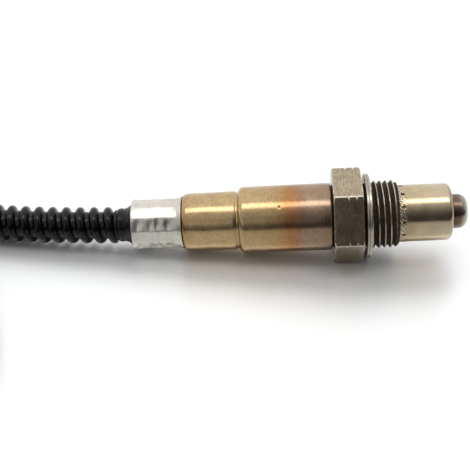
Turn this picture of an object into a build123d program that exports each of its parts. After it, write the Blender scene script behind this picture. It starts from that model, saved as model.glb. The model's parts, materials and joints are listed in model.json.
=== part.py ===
from build123d import *

import os
from math import cos, radians, sin, tan

# Oxygen sensor with a threaded metal body and a corrugated lead, at rest on a surface. Millimetres.
#
# The body is modelled in its own frame: its axis is X, the exhaust end points to +X, and the origin
# is where the axis meets the hexagon's front face. It is then tilted and lowered, as it lies on
# one flat of the hexagon with its lead on the surface. The lead, its coil and the plug are
# modelled straight in the rest frame: Z is up, and Z = 0 is the surface.

# ---- Driving dimensions -------------------------------------------------------------------------

# Shell: M18 x 1.5 thread, left as a plain cylinder of its outer diameter, and a 22 mm hexagon
THREAD_R = 9.0
THREAD_ROOT_R = 8.1
THREAD_START_X = 2.6
THREAD_LEAD_IN = 0.4
THREAD_LEAD_OUT = 1.0
THREAD_END_X = 9.3
HEX_FLATS = 22.0
HEX_LENGTH = 7.6
HEX_FACE_R = 12.2          # where the hexagon's chamfer meets its end faces
HEX_CHAMFER = 30.0         # degrees
RELIEF_R = 8.2             # groove behind the thread that holds the sealing ring
SPIGOT_R = 8.3             # carries the protective sleeve
SPIGOT_END_X = -12.5
CRIMP_RIM_R = 7.2          # rear rim, rolled in over the rear insulator
CRIMP_RIM_X = -15.0
RIM_SHEET = 0.8            # thickness of the rolled rim
SHELL_BORE_R = 6.0
SHELL_THROAT_R = 4.3
SEAT_CONE_X = 2.2          # narrow end of the cone that the front insulator seats on
NOSE_BORE_X = 6.8          # floor of the counterbore that the protection tubes stand in

# Sealing ring, folded from sheet, free in the relief groove
SEAL_RING_R = 11.2
SEAL_RING_INNER_R = 8.5
SEAL_RING_X = (0.7, 2.4)
SEAL_FACE_INNER_R = 9.4    # the flat of each face starts clear of the thread
SEAL_LIP_LEAN = 0.3
SEAL_SHEET = 0.45

# Protection tubes
TUBE_SHEET = 0.4
OUTER_TUBE_R = 7.5
OUTER_TUBE_END_X = 23.1
OUTER_TUBE_CORNER = 1.3
INNER_TUBE_R = 4.5
INNER_TUBE_END_X = 27.4
INNER_TUBE_CORNER = 2.3
FOOT_ROUND = 0.5           # between the inner tube and its foot flange
GAS_HOLE_D = 1.1
GAS_HOLE_COUNT = 12
GAS_HOLE_X = 10.4
GAS_HOLE_TURN = 2.0        # degrees from the -Y side to the first hole
INNER_HOLE_D = 1.3
INNER_HOLE_COUNT = 8
INNER_HOLE_X = 20.0
TIP_HOLE_D = 2.2

# Ceramics, packed powder and the planar element
ELEMENT_SIZE = (4.0, 1.5)  # width along Y, thickness along Z
ELEMENT_X = (-30.0, 18.0)
ELEMENT_BEVEL = 0.3
FRONT_INSULATOR_END_X = -3.5
POWDER_END_X = -8.5
REAR_INSULATOR_END_X = -17.0
CERAMIC_PLAY = 0.02

# Contact holder, its clip, the contacts and the wires
HOLDER_R = 6.4
HOLDER_X = (-31.0, -19.0)
POCKET_HALF_WIDTH = 2.4
POCKET_HEIGHT = 2.15
CLIP_SHEET = 0.35
CLIP_X = (-28.0, -22.0)
CLIP_ARC = 335.0           # degrees
FINGER_ROOT = 0.6
FINGER_RISE = 1.4
FINGER_LENGTH = 2.6
FINGER_WIDTH = 2.4
FINGER_TURNS = (70, 140, 210, 280)
STRIP_WIDTH = 0.9
STRIP_SHEET = 0.25
STRIP_TOP_Z = 2.1
BOW_X = (-29.2, -26.4, -24.6, -21.4, -20.0)
BOW_ROUNDS = (0.3, 0.5)
PLATE_GAP = 0.3            # from the holder to the contact's cross plate
PLATE_LENGTH = 1.3
BARREL_X = (-35.8, -33.2)
BARREL_R = 0.75
CORE_R = 0.45
WIRE_R = 0.85
WIRE_ROW_Z = 1.2
CORE_X = (-36.0, -33.6)
# One entry per contact and wire: side of the element, Y of the contact strip, Y of the wire
WAYS = ((1, -1.35, -2.05), (1, 0.0, 0.0), (1, 1.35, 2.05), (-1, -1.05, -1.05), (-1, 1.05, 1.05))

# Protective sleeve: wide front part, narrow rear part, rear rim rolled in
SLEEVE_SHEET = 0.5
SLEEVE_FRONT = (-7.9, 8.86)
SLEEVE_SHOULDER = (-31.4, 8.77)
SLEEVE_SHOULDER_ROUND = 1.7
WAIST_R = 7.45
WAIST_X = (-32.85, -32.25)
SLEEVE_NECK = (-33.2, 7.75)
SLEEVE_REAR = (-47.0, 7.65)
SLEEVE_REAR_ROUND = 2.4
SLEEVE_OPENING_R = 5.1
STEP_SHIFT = 0.26          # how far forward the sheet's inside turns at the sloping step
SLEEVE_INSIDE = (SLEEVE_SHOULDER[0] + STEP_SHIFT, SLEEVE_SHOULDER[1] - SLEEVE_SHEET)

# Wire grommet, lead cuff and the collar crimped over it
GROMMET_FRONT_X = -37.5
GROMMET_TAIL_R = 5.0
GROMMET_TAIL_X = -55.0
COLLAR_SHEET = 0.5
COLLAR_R = 6.7
COLLAR_X = (-60.3, -47.2)
CRIMP_GROOVES_X = (-56.3, -52.5)
CRIMP_HALF_WIDTH = 1.0
CRIMP_DEPTH = 0.35
COLLAR_NECK = (-48.8, 6.45)
COLLAR_LIP_R = 7.15
CUFF_R = 4.3
CUFF_MOUTH_R = 5.5
CUFF_BORE_R = 3.3
CUFF_END_X = -64.9
CUFF_NECK_LENGTH = 1.8
CUFF_NECK_ROUND = 1.6

# Rest pose: nose up by TILT, rear edge of the hexagon's lower flat on the surface
TILT = 4.2                 # degrees
REST_Z = HEX_FLATS / 2 * cos(radians(TILT)) + HEX_LENGTH * sin(radians(TILT))
TIP_FACE_R = INNER_TUBE_R - INNER_TUBE_CORNER
LOW_X = CUFF_END_X * cos(radians(TILT)) - CUFF_R * sin(radians(TILT))
HIGH_X = INNER_TUBE_END_X * cos(radians(TILT)) + TIP_FACE_R * sin(radians(TILT))
REST_X = -(LOW_X + HIGH_X) / 2

# Lead: corrugated conduit, drawn as a plain tube of its outer diameter
CONDUIT_D = 9.8
FLOOR_Z = CONDUIT_D / 2
LEAD_STRAIGHT = 12.0       # run out of the cuff in line with the body
COIL_CENTRE = (-128.0, -48.0)
COIL_R = 52.0              # to the middle of the turns
TURN_STEP = 9.9            # height of the second turn over the first
SECOND_TURN_ENDS = 180.0   # degrees about the coil's centre, from +X
RISE_STARTS = 15.0
RISE_CLEARS = 50.0
FIRST_TURN_STARTS = 90.0
WEB_INSET = 0.8            # the web between the turns is this much narrower than the conduit
TIE_ANGLE = 135.0
TIE_WIDTH = 2.6
TIE_SHEET = 1.0
TIE_OUTER_R = 4.85         # the strap lies flush with the crests of the conduit
TIE_HEAD = (5.0, 4.2, 3.0)

# Plug: six-way sealed plug, lying on the coil and pointing to +X
PLUG_SIZE = (22.0, 17.0)   # width along Y, height along Z
PLUG_ROUND = 3.0
PLUG_COVER_LENGTH = 14.0
PLUG_LENGTH = 46.0
PLUG_BARREL_R = 6.6
PLUG_BARREL_LENGTH = 5.0
PLUG_ENTRY_DEPTH = 6.0
PLUG_WALL = 1.8
COVER_WALL = 2.0
COVER_LIP = 2.0            # straight part of the cover next to the housing
COVER_NECK_WALL = 2.6
SOCKET_FLOOR = 30.0
SEAL_FLOOR = 20.0
PIN_SIZE = (1.5, 0.8)
PIN_SPAN = (21.2, 41.0)
PIN_Y = (-5.0, 0.0, 5.0)
PIN_Z = (2.6, -2.6)
PIN_BEVEL = 0.25
LOCK_SPAN = (23.0, 25.6)
LOCK_TOP_Z = 4.4
LOCK_SIDE_WALL = 3.0
LOCK_PLAY = 0.05
RAMP_X = (32.0, 36.0, 37.5)  # start, crest and end of the latch ramp
RAMP_HEIGHT = 1.6
RAMP_WIDTH = 6.0
KEY_Y = (-4.0, 4.0)
KEY_WIDTH = 1.2
KEY_HEIGHT = 1.0
KEY_SET_BACK = 2.0
RESISTOR_SIZE = (1.0, 7.0, 2.8)

RUN_SHARE = 0.45           # share of the shorter run that a bend of the tube may take


# ---- Shared shapes ------------------------------------------------------------------------------


def turned(*corners):
    """Turned piece: a closed outline of (x, radius) corners spun about X. A third value rounds one."""
    points = [(corner[0], corner[1]) for corner in corners]
    rounds = [corner[2] if len(corner) > 2 else 0 for corner in corners]
    if any(rounds):
        outline = FilletPolyline(*points, radius=rounds, close=True)
    else:
        outline = Polyline(*points, close=True)
    return revolve(make_face(outline), Axis.X)


def rod(span, radius, y=0.0, z=0.0):
    """Round rod along X between the two ends of span."""
    length = span[1] - span[0]
    return Pos((span[0] + span[1]) / 2, y, z) * Rot(0, 90, 0) * Cylinder(radius, length)


def block(x, y, z):
    """Box between the two limits given along each axis."""
    size = (x[1] - x[0], y[1] - y[0], z[1] - z[0])
    return Pos((x[0] + x[1]) / 2, (y[0] + y[1]) / 2, (z[0] + z[1]) / 2) * Box(*size)


def bar(span, width, height, rounding):
    """Bar along X with a rounded rectangular section."""
    section = Plane.YZ.offset(span[0]) * RectangleRounded(width, height, rounding)
    return extrude(section, span[1] - span[0])


def radial_holes(x, diameter, count, first, reach):
    """Cutters for a ring of holes through a tube's wall; first is in degrees from the -Y side."""
    cutter = Pos(0, 0, reach / 2) * Cylinder(diameter / 2, reach)
    return [Pos(x, 0, 0) * Rot(90 - first - i * 360 / count, 0, 0) * cutter for i in range(count)]


def element_slot():
    """The planar element's own section, as long as the element."""
    half_width = ELEMENT_SIZE[0] / 2
    half_height = ELEMENT_SIZE[1] / 2
    return block(ELEMENT_X, (-half_width, half_width), (-half_height, half_height))


def straight(low, high, x):
    """Radius at x on the straight line between two (x, radius) points."""
    return low[1] + (high[1] - low[1]) * (x - low[0]) / (high[0] - low[0])


# ---- Exhaust end --------------------------------------------------------------------------------


def outer_protection_tube():
    """Deep-drawn tube, open round the inner tube at its nose, with gas holes round its foot."""
    inside = OUTER_TUBE_R - TUBE_SHEET
    foot = NOSE_BORE_X + TUBE_SHEET
    tube = turned(
        (foot, inside),
        (foot, OUTER_TUBE_R),
        (OUTER_TUBE_END_X, OUTER_TUBE_R, OUTER_TUBE_CORNER),
        (OUTER_TUBE_END_X, INNER_TUBE_R),
        (OUTER_TUBE_END_X - TUBE_SHEET, INNER_TUBE_R),
        (OUTER_TUBE_END_X - TUBE_SHEET, inside, OUTER_TUBE_CORNER - TUBE_SHEET),
    )
    return tube - radial_holes(GAS_HOLE_X, GAS_HOLE_D, GAS_HOLE_COUNT, GAS_HOLE_TURN, OUTER_TUBE_R + 1)


def inner_protection_tube():
    """Drawn tube with a foot flange, a ring of holes inside the outer tube and one hole in its nose."""
    inside = INNER_TUBE_R - TUBE_SHEET
    face = NOSE_BORE_X
    tube = turned(
        (face, inside),
        (face, OUTER_TUBE_R),
        (face + TUBE_SHEET, OUTER_TUBE_R),
        (face + TUBE_SHEET, INNER_TUBE_R, FOOT_ROUND),
        (INNER_TUBE_END_X, INNER_TUBE_R, INNER_TUBE_CORNER),
        (INNER_TUBE_END_X, TIP_HOLE_D / 2),
        (INNER_TUBE_END_X - TUBE_SHEET, TIP_HOLE_D / 2),
        (INNER_TUBE_END_X - TUBE_SHEET, inside, INNER_TUBE_CORNER - TUBE_SHEET),
    )
    return tube - radial_holes(INNER_HOLE_X, INNER_HOLE_D, INNER_HOLE_COUNT, 0, INNER_TUBE_R + 1)


def shell():
    """Turned shell: threaded nose, relief groove, chamfered hexagon, sleeve spigot, stepped bore."""
    bore_to_cone = SEAT_CONE_X - (SHELL_BORE_R - SHELL_THROAT_R)
    body = turned(
        (CRIMP_RIM_X, SHELL_BORE_R - RIM_SHEET),
        (CRIMP_RIM_X, CRIMP_RIM_R, RIM_SHEET),
        (SPIGOT_END_X, CRIMP_RIM_R),
        (SPIGOT_END_X, SPIGOT_R),
        (0, SPIGOT_R),
        (0, RELIEF_R),
        (THREAD_START_X, RELIEF_R),
        (THREAD_START_X + THREAD_LEAD_IN, THREAD_R),
        (THREAD_END_X - THREAD_LEAD_OUT, THREAD_R),
        (THREAD_END_X, THREAD_ROOT_R),
        (THREAD_END_X, OUTER_TUBE_R),
        (NOSE_BORE_X, OUTER_TUBE_R),
        (NOSE_BORE_X, SHELL_THROAT_R),
        (SEAT_CONE_X, SHELL_THROAT_R),
        (bore_to_cone, SHELL_BORE_R),
        (CRIMP_RIM_X + 2 * RIM_SHEET, SHELL_BORE_R),
        (CRIMP_RIM_X + RIM_SHEET, SHELL_BORE_R - RIM_SHEET),
    )
    return body + hexagon()


def hexagon():
    """Hexagon with two flats level, its corners chamfered at both ends, open round the spigot."""
    corner_r = HEX_FLATS / 2 / cos(radians(30))
    chamfer = (corner_r - HEX_FACE_R) * tan(radians(HEX_CHAMFER))
    section = Plane.YZ.offset(-HEX_LENGTH) * RegularPolygon(corner_r, 6)
    envelope = turned(
        (-HEX_LENGTH, SHELL_BORE_R + 1),
        (-HEX_LENGTH, HEX_FACE_R),
        (-HEX_LENGTH + chamfer, corner_r),
        (-chamfer, corner_r),
        (0, HEX_FACE_R),
        (0, SHELL_BORE_R + 1),
    )
    return extrude(section, HEX_LENGTH) & envelope


def sealing_ring():
    """Folded sheet ring with both lips leaning in; it hangs on the relief groove, so it sits lower."""
    low, high = SEAL_RING_X
    inner, outer = SEAL_RING_INNER_R, SEAL_RING_R
    fold = (high - low) / 2 - 0.01
    ring = turned(
        (low + SEAL_LIP_LEAN, inner),
        (low, SEAL_FACE_INNER_R),
        (low, outer, fold),
        (high, outer, fold),
        (high, SEAL_FACE_INNER_R),
        (high - SEAL_LIP_LEAN, inner),
        (high - SEAL_LIP_LEAN - SEAL_SHEET, inner),
        (high - SEAL_SHEET, SEAL_FACE_INNER_R),
        (high - SEAL_SHEET, outer - SEAL_SHEET, fold - SEAL_SHEET),
        (low + SEAL_SHEET, outer - SEAL_SHEET, fold - SEAL_SHEET),
        (low + SEAL_SHEET, SEAL_FACE_INNER_R),
        (low + SEAL_LIP_LEAN + SEAL_SHEET, inner),
    )
    return Pos(0, 0, RELIEF_R - inner) * ring


# ---- Ceramics and element -----------------------------------------------------------------------


def sensing_element():
    """Planar ceramic strip, its exhaust tip bevelled."""
    strip = element_slot()
    return chamfer(strip.faces().sort_by(Axis.X)[-1].edges(), ELEMENT_BEVEL)


def front_insulator():
    """Ceramic bushing that seats on the shell's inner cone and guides the element."""
    radius = SHELL_BORE_R - CERAMIC_PLAY
    bushing = turned(
        (FRONT_INSULATOR_END_X, 0),
        (FRONT_INSULATOR_END_X, radius),
        (SEAT_CONE_X - (radius - SHELL_THROAT_R), radius),
        (SEAT_CONE_X, SHELL_THROAT_R),
        (SEAT_CONE_X, 0),
    )
    return bushing - element_slot()


def powder_seal():
    """Pressed powder ring that seals the element in the shell."""
    return rod((POWDER_END_X, FRONT_INSULATOR_END_X), SHELL_BORE_R) - element_slot()


def rear_insulator():
    """Ceramic bushing held down by the shell's rolled rim."""
    radius = SHELL_BORE_R - CERAMIC_PLAY
    neck = SHELL_BORE_R - RIM_SHEET
    shoulder_x = CRIMP_RIM_X + RIM_SHEET
    bushing = turned(
        (REAR_INSULATOR_END_X, 0),
        (REAR_INSULATOR_END_X, neck - 0.1),
        (shoulder_x, neck - 0.1),
        (shoulder_x, neck),
        (shoulder_x + RIM_SHEET - CERAMIC_PLAY, radius),
        (POWDER_END_X, radius),
        (POWDER_END_X, 0),
    )
    return bushing - element_slot()


# ---- Contacts and wires -------------------------------------------------------------------------


def contact_holder(side):
    """Half of the ceramic holder: a half round with the pocket for the element and its contacts."""
    half = rod(HOLDER_X, HOLDER_R) & block(HOLDER_X, (-HOLDER_R, HOLDER_R), (0, HOLDER_R))
    walls = (-POCKET_HALF_WIDTH, POCKET_HALF_WIDTH)
    half -= block(HOLDER_X, walls, (0, POCKET_HEIGHT))
    return half if side > 0 else mirror(half, Plane.XY)


def contact(side, strip_y, wire_y):
    """Sprung contact: a bowed strip on the element, a cross plate and the barrel on its wire."""
    floor_z = ELEMENT_SIZE[1] / 2
    low_z = STRIP_TOP_Z - STRIP_SHEET
    rear_x = HOLDER_X[0] - PLATE_GAP
    bow = [(BARREL_X[0], low_z)]
    bow += list(zip(BOW_X, (low_z, floor_z, floor_z, low_z, low_z)))
    edge = bow + [(x, z + STRIP_SHEET) for x, z in reversed(bow)]
    small, large = BOW_ROUNDS
    rounds = [0, large, small, small, large, 0, 0, small, large, large, small, 0]
    profile = Plane.XZ * make_face(FilletPolyline(*edge, radius=rounds, close=True))
    strip = Pos(0, strip_y, 0) * extrude(profile, STRIP_WIDTH / 2, both=True)
    rear = block((BARREL_X[0], rear_x), (strip_y - 1, strip_y + 1), (low_z, STRIP_TOP_Z))
    plate_y = (min(strip_y, wire_y) - STRIP_WIDTH / 2, max(strip_y, wire_y) + STRIP_WIDTH / 2)
    strip -= rear
    strip += block((rear_x - PLATE_LENGTH, rear_x), plate_y, (low_z, STRIP_TOP_Z))
    tail_y = (wire_y - STRIP_WIDTH / 2, wire_y + STRIP_WIDTH / 2)
    strip += block((BARREL_X[0], rear_x), tail_y, (low_z, STRIP_TOP_Z))
    strip += rod(BARREL_X, BARREL_R, wire_y, WIRE_ROW_Z) - rod(BARREL_X, CORE_R, wire_y, WIRE_ROW_Z)
    return strip if side > 0 else mirror(strip, Plane.XY)


def holder_clip():
    """Open sheet ring round the holder halves, with four fingers that brace it in the sleeve."""
    inner, outer = HOLDER_R, HOLDER_R + CLIP_SHEET
    band_outline = Polyline(
        (CLIP_X[0], inner), (CLIP_X[0], outer), (CLIP_X[1], outer), (CLIP_X[1], inner), close=True
    )
    clip = revolve(make_face(band_outline), Axis.X, CLIP_ARC)
    knee_x = CLIP_X[1] + FINGER_RISE
    finger_end_x = CLIP_X[1] + FINGER_LENGTH
    reach = straight(SLEEVE_INSIDE, (SPIGOT_END_X, SPIGOT_R), knee_x)
    sheet = CLIP_SHEET + 0.1
    low = reach - sheet
    run = ((CLIP_X[1] - FINGER_ROOT, inner), (CLIP_X[1], inner), (knee_x, low), (finger_end_x, low))
    edge = run + tuple((x, r + sheet) for x, r in reversed(run))
    finger = Plane.XZ * make_face(Polyline(*edge, close=True))
    finger = extrude(finger, FINGER_WIDTH / 2, both=True)
    finger_span = (CLIP_X[1] - 1, finger_end_x)
    finger = finger & (rod(finger_span, reach) - rod(finger_span, inner))
    for turn in FINGER_TURNS:
        clip += Rot(turn, 0, 0) * finger
    return clip


def wire(side, wire_y):
    """One wire inside the body: bare core in the barrel, then the insulated wire to the cuff's end."""
    z = side * WIRE_ROW_Z
    return rod(CORE_X, CORE_R, wire_y, z) + rod((CUFF_END_X, CORE_X[0]), WIRE_R, wire_y, z)


# ---- Rear of the body ---------------------------------------------------------------------------


def protective_sleeve():
    """Drawn sleeve: wide part on the shell's spigot, stepped down, its rear rim rolled in."""
    sheet = SLEEVE_SHEET
    rear_face = SLEEVE_REAR[0] + sheet
    return turned(
        (SLEEVE_FRONT[0], SPIGOT_R),
        SLEEVE_FRONT,
        (*SLEEVE_SHOULDER, SLEEVE_SHOULDER_ROUND),
        (WAIST_X[1], WAIST_R, 0.4),
        (WAIST_X[0], WAIST_R, 0.1),
        (*SLEEVE_NECK, 0.3),
        (*SLEEVE_REAR, SLEEVE_REAR_ROUND),
        (SLEEVE_REAR[0], SLEEVE_OPENING_R),
        (rear_face, SLEEVE_OPENING_R),
        (rear_face, SLEEVE_REAR[1] - sheet, SLEEVE_REAR_ROUND - sheet),
        (SLEEVE_NECK[0], SLEEVE_NECK[1] - sheet),
        (WAIST_X[0], WAIST_R - sheet),
        (WAIST_X[1] + STEP_SHIFT, WAIST_R - sheet),
        (*SLEEVE_INSIDE, SLEEVE_SHOULDER_ROUND - sheet),
        (SPIGOT_END_X, SPIGOT_R),
    )


def wire_grommet():
    """Rubber grommet: a body held in the sleeve's rear and a tail that reaches into the cuff."""
    seat_x = SLEEVE_REAR[0] + SLEEVE_SHEET
    rear = (seat_x, SLEEVE_REAR[1] - SLEEVE_SHEET)
    neck = (SLEEVE_NECK[0], SLEEVE_NECK[1] - SLEEVE_SHEET)
    grommet = turned(
        (GROMMET_TAIL_X, 0),
        (GROMMET_TAIL_X, GROMMET_TAIL_R),
        (seat_x, GROMMET_TAIL_R),
        (*rear, SLEEVE_REAR_ROUND - SLEEVE_SHEET),
        (GROMMET_FRONT_X, straight(rear, neck, GROMMET_FRONT_X)),
        (GROMMET_FRONT_X, 0),
    )
    holes = [rod((GROMMET_TAIL_X, GROMMET_FRONT_X), WIRE_R, y, s * WIRE_ROW_Z) for s, _, y in WAYS]
    return grommet - holes


def crimp_line(drop, last_x):
    """Collar outline from its rear edge forward, lowered by drop, as (x, radius, round) corners."""
    corners = [(COLLAR_X[0], COLLAR_R - drop, 0)]
    for groove_x in CRIMP_GROOVES_X:
        corners.append((groove_x - CRIMP_HALF_WIDTH, COLLAR_R - drop, 1.0))
        corners.append((groove_x, COLLAR_R - CRIMP_DEPTH - drop, 1.0))
        corners.append((groove_x + CRIMP_HALF_WIDTH, COLLAR_R - drop, 1.0))
    corners.append((COLLAR_NECK[0] - CRIMP_HALF_WIDTH, COLLAR_R - drop, 1.0))
    corners.append((COLLAR_NECK[0], COLLAR_NECK[1] - drop, 1.0))
    corners.append((COLLAR_X[1], COLLAR_LIP_R - drop, 0))
    return [corner for corner in corners if corner[0] <= last_x]


def crimp_collar():
    """Metal collar crimped round the cuff in two grooves, its front lip flared."""
    outside = crimp_line(0, COLLAR_X[1])
    inside = crimp_line(COLLAR_SHEET, COLLAR_X[1])
    return turned(*outside, *reversed(inside))


def conduit_cuff():
    """Smooth rubber cuff of the lead: gripped by the collar, it narrows to the conduit."""
    gripped = crimp_line(COLLAR_SHEET, COLLAR_NECK[0])
    gripped[-1] = (*gripped[-1][:2], 0)
    return turned(
        (CUFF_END_X, CUFF_BORE_R),
        (CUFF_END_X, CUFF_R),
        (CUFF_END_X + CUFF_NECK_LENGTH, CUFF_R, CUFF_NECK_ROUND),
        (COLLAR_X[0] - 0.6, CUFF_MOUTH_R, 0.3),
        *gripped,
        (COLLAR_NECK[0], GROMMET_TAIL_R),
        (GROMMET_TAIL_X, GROMMET_TAIL_R),
        (GROMMET_TAIL_X, CUFF_BORE_R),
    )


# ---- Lead, in the rest frame --------------------------------------------------------------------


def at_rest(piece):
    """Moves a piece of the body from its own frame to where it lies."""
    return Pos(REST_X, 0, REST_Z) * Rot(0, -TILT, 0) * piece


def lead_points():
    """Corners of the lead from the cuff to the coil: straight out, down to the surface, along it."""
    slope = radians(TILT)
    along = (cos(slope), 0.0, sin(slope))
    exit_point = (REST_X + CUFF_END_X * along[0], 0.0, REST_Z + CUFF_END_X * along[2])
    first = (exit_point[0] - LEAD_STRAIGHT * along[0], 0.0, exit_point[2] - LEAD_STRAIGHT * along[2])
    start_y = COIL_CENTRE[1] + COIL_R
    return [
        exit_point,
        first,
        (-71.5, 1.0, 5.15),
        (-86.0, 2.7, FLOOR_Z),
        (-100.5, 4.2, FLOOR_Z),
        (-115.0, start_y, FLOOR_Z),
        (COIL_CENTRE[0], start_y, FLOOR_Z),
    ]


TAIL_POINTS = [
    (-180.0, -48.0, 14.8),
    (-180.0, -56.3, 14.8),
    (-178.6, -64.4, 14.8),
    (-175.8, -72.1, 14.8),
    (-171.6, -79.1, 14.9),
    (-166.3, -85.4, 15.4),
    (-160.1, -90.6, 16.2),
    (-152.8, -94.6, 17.1),
    (-144.9, -97.4, 17.9),
    (-136.3, -98.8, 18.3),
    (-125.8, -98.8, 18.3),
]


def bend_radii(points):
    """Radius at each corner: a share of the shorter run beside it, over the tangent of half the turn."""
    corners = [Vector(*point) for point in points]
    radii = []
    for before, here, after in zip(corners, corners[1:], corners[2:]):
        half_turn = radians((here - before).get_angle(after - here)) / 2
        shorter = min((here - before).length, (after - here).length)
        radii.append(RUN_SHARE * shorter / tan(half_turn))
    return radii


def conduit_tube(points):
    """Plain tube along straight runs joined by tangent arcs."""
    path = FilletPolyline(*points, radius=bend_radii(points))
    start = Plane(origin=path @ 0, z_dir=path % 0)
    return sweep(start * Circle(CONDUIT_D / 2), path=path)


def coil_plane(angle):
    """Upright plane through the coil's axis: its x runs outward at this angle, its y runs up."""
    turn = radians(angle)
    outward = (cos(turn), sin(turn), 0)
    return Plane(origin=(*COIL_CENTRE, 0), x_dir=outward, z_dir=(sin(turn), -cos(turn), 0))


def level_z(level):
    """Height of the middle of a turn: 0 for the first, 1 for the one on top of it."""
    return FLOOR_Z + TURN_STEP * level


def turn_arc(level, start, stop):
    """Stretch of one turn, as a round bar bent about the coil's axis."""
    section = coil_plane(start) * (Pos(COIL_R, level_z(level)) * Circle(CONDUIT_D / 2))
    return revolve(section, coil_axis(), stop - start)


def web_arc(start, stop):
    """Fills the two hollows between the turns where one lies on the other."""
    section = Pos(COIL_R, level_z(0.5)) * Rectangle(CONDUIT_D - WEB_INSET, TURN_STEP)
    return revolve(coil_plane(start) * section, coil_axis(), stop - start)


def coil_axis():
    """Upright axis of the coil."""
    return Axis((*COIL_CENTRE, 0), (0, 0, 1))


def conduit_coil():
    """Round coil of a turn and a quarter: the first turn on the surface, the second on top of it."""
    coil = turn_arc(0, FIRST_TURN_STARTS, RISE_CLEARS + 360)
    coil += turn_arc(1, RISE_STARTS, SECOND_TURN_ENDS)
    coil += web_arc(FIRST_TURN_STARTS, SECOND_TURN_ENDS)
    coil += web_arc(RISE_STARTS, RISE_CLEARS)
    return coil - tie_loop(TIE_OUTER_R - TIE_SHEET, CONDUIT_D / 2 + 1, TIE_WIDTH)


def tie_loop(inner, outer, width):
    """Band round both turns at the tie's place."""
    outline = SlotCenterToCenter(TURN_STEP, 2 * outer, rotation=90)
    outline -= SlotCenterToCenter(TURN_STEP, 2 * inner, rotation=90)
    section = coil_plane(TIE_ANGLE) * (Pos(COIL_R, level_z(0.5)) * outline)
    return extrude(section, width / 2, both=True)


def coil_tie():
    """Strap round both turns, sunk in the conduit, with its head on top."""
    top = FLOOR_Z + TURN_STEP + TIE_OUTER_R
    loop = tie_loop(TIE_OUTER_R - TIE_SHEET, TIE_OUTER_R, TIE_WIDTH)
    neck_height = top_of_strap_to_head() + TIE_SHEET / 2
    neck = Pos(COIL_R, top - TIE_SHEET / 2 + neck_height / 2) * Rectangle(TIE_HEAD[0] / 2, neck_height)
    head_z = top + top_of_strap_to_head() + TIE_HEAD[2] / 2
    head = Pos(COIL_R, head_z) * Rectangle(TIE_HEAD[0], TIE_HEAD[2])
    plane = coil_plane(TIE_ANGLE)
    loop += extrude(plane * neck, TIE_WIDTH / 2, both=True)
    return loop + extrude(plane * head, TIE_HEAD[1] / 2, both=True)


def top_of_strap_to_head():
    """Height that the head of the tie needs to clear the conduit's crests."""
    return CONDUIT_D / 2 - TIE_OUTER_R + 0.02


# ---- Plug, in its own frame: X from the cable entry to the socket's mouth -----------------------


def plug_rest(piece):
    """Moves a piece of the plug to where it lies on the coil, in line with the lead's last run."""
    end = TAIL_POINTS[-1]
    return Pos(end[0] - PLUG_ENTRY_DEPTH, end[1], end[2]) * piece


def plug_rear_cover():
    """Funnel cover: round barrel on the conduit, widening to the housing's section."""
    lip = (PLUG_COVER_LENGTH - COVER_LIP, PLUG_COVER_LENGTH)
    round_end = Plane.YZ.offset(PLUG_BARREL_LENGTH)
    wide_end = Plane.YZ.offset(lip[0])
    width, height = PLUG_SIZE
    inside = (width - 2 * COVER_WALL, height - 2 * COVER_WALL, PLUG_ROUND - 1.5)
    cover = rod((0, PLUG_BARREL_LENGTH), PLUG_BARREL_R)
    funnel = [round_end * Circle(PLUG_BARREL_R), wide_end * RectangleRounded(width, height, PLUG_ROUND)]
    cover += loft(funnel)
    cover += bar(lip, width, height, PLUG_ROUND)
    cover -= rod((0, PLUG_ENTRY_DEPTH), CONDUIT_D / 2 + 0.05)
    hollow = [round_end.offset(1) * Circle(PLUG_BARREL_R - COVER_NECK_WALL)]
    hollow.append(wide_end * RectangleRounded(*inside))
    cover -= loft(hollow)
    return cover - bar(lip, *inside)


def plug_housing():
    """Moulded housing: open socket in front, seal pocket behind, latch ramp, collar and keys."""
    width, height = PLUG_SIZE
    inside = (width - 2 * PLUG_WALL, height - 2 * PLUG_WALL)
    housing = bar((PLUG_COVER_LENGTH, PLUG_LENGTH), width, height, PLUG_ROUND)
    housing -= bar((SOCKET_FLOOR, PLUG_LENGTH), *inside, PLUG_ROUND - 1)
    housing -= bar((PLUG_COVER_LENGTH, SEAL_FLOOR), *inside, PLUG_ROUND - 1)
    start, crest, end = RAMP_X
    top = height / 2
    root = top - 0.5
    peak = top + RAMP_HEIGHT
    ramp = Polyline((start, root), (start, top), (crest, peak), (end, peak), (end, root), close=True)
    housing += extrude(Plane.XZ * make_face(ramp), RAMP_WIDTH / 2, both=True)
    for y in KEY_Y:
        key_y = (y - KEY_WIDTH / 2, y + KEY_WIDTH / 2)
        key_z = (inside[1] / 2 - KEY_HEIGHT, inside[1] / 2 + 0.2)
        housing += block((SOCKET_FLOOR, PLUG_LENGTH - KEY_SET_BACK), key_y, key_z)
    for y in PIN_Y:
        for z in PIN_Z:
            housing -= pin_blank((SEAL_FLOOR, SOCKET_FLOOR), y, z)
    housing -= lock_slot(0.0)
    return housing - resistor_space()


def lock_slot(play):
    """Space of the terminal lock: a flat slot in from the underside."""
    half = PLUG_SIZE[0] / 2 - LOCK_SIDE_WALL - play
    low = -PLUG_SIZE[1] / 2
    span = (LOCK_SPAN[0] + play, LOCK_SPAN[1] - play)
    return block(span, (-half, half), (low, LOCK_TOP_Z - play))


def terminal_lock():
    """Comb pushed in across the terminals, flush with the housing's underside."""
    comb = lock_slot(LOCK_PLAY)
    gap = PIN_SIZE[0] / 2 + LOCK_PLAY
    gap_z = (PIN_Z[1] - PIN_SIZE[1] / 2 - LOCK_PLAY, LOCK_TOP_Z)
    for y in PIN_Y:
        comb -= block(LOCK_SPAN, (y - gap, y + gap), gap_z)
    return comb


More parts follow.
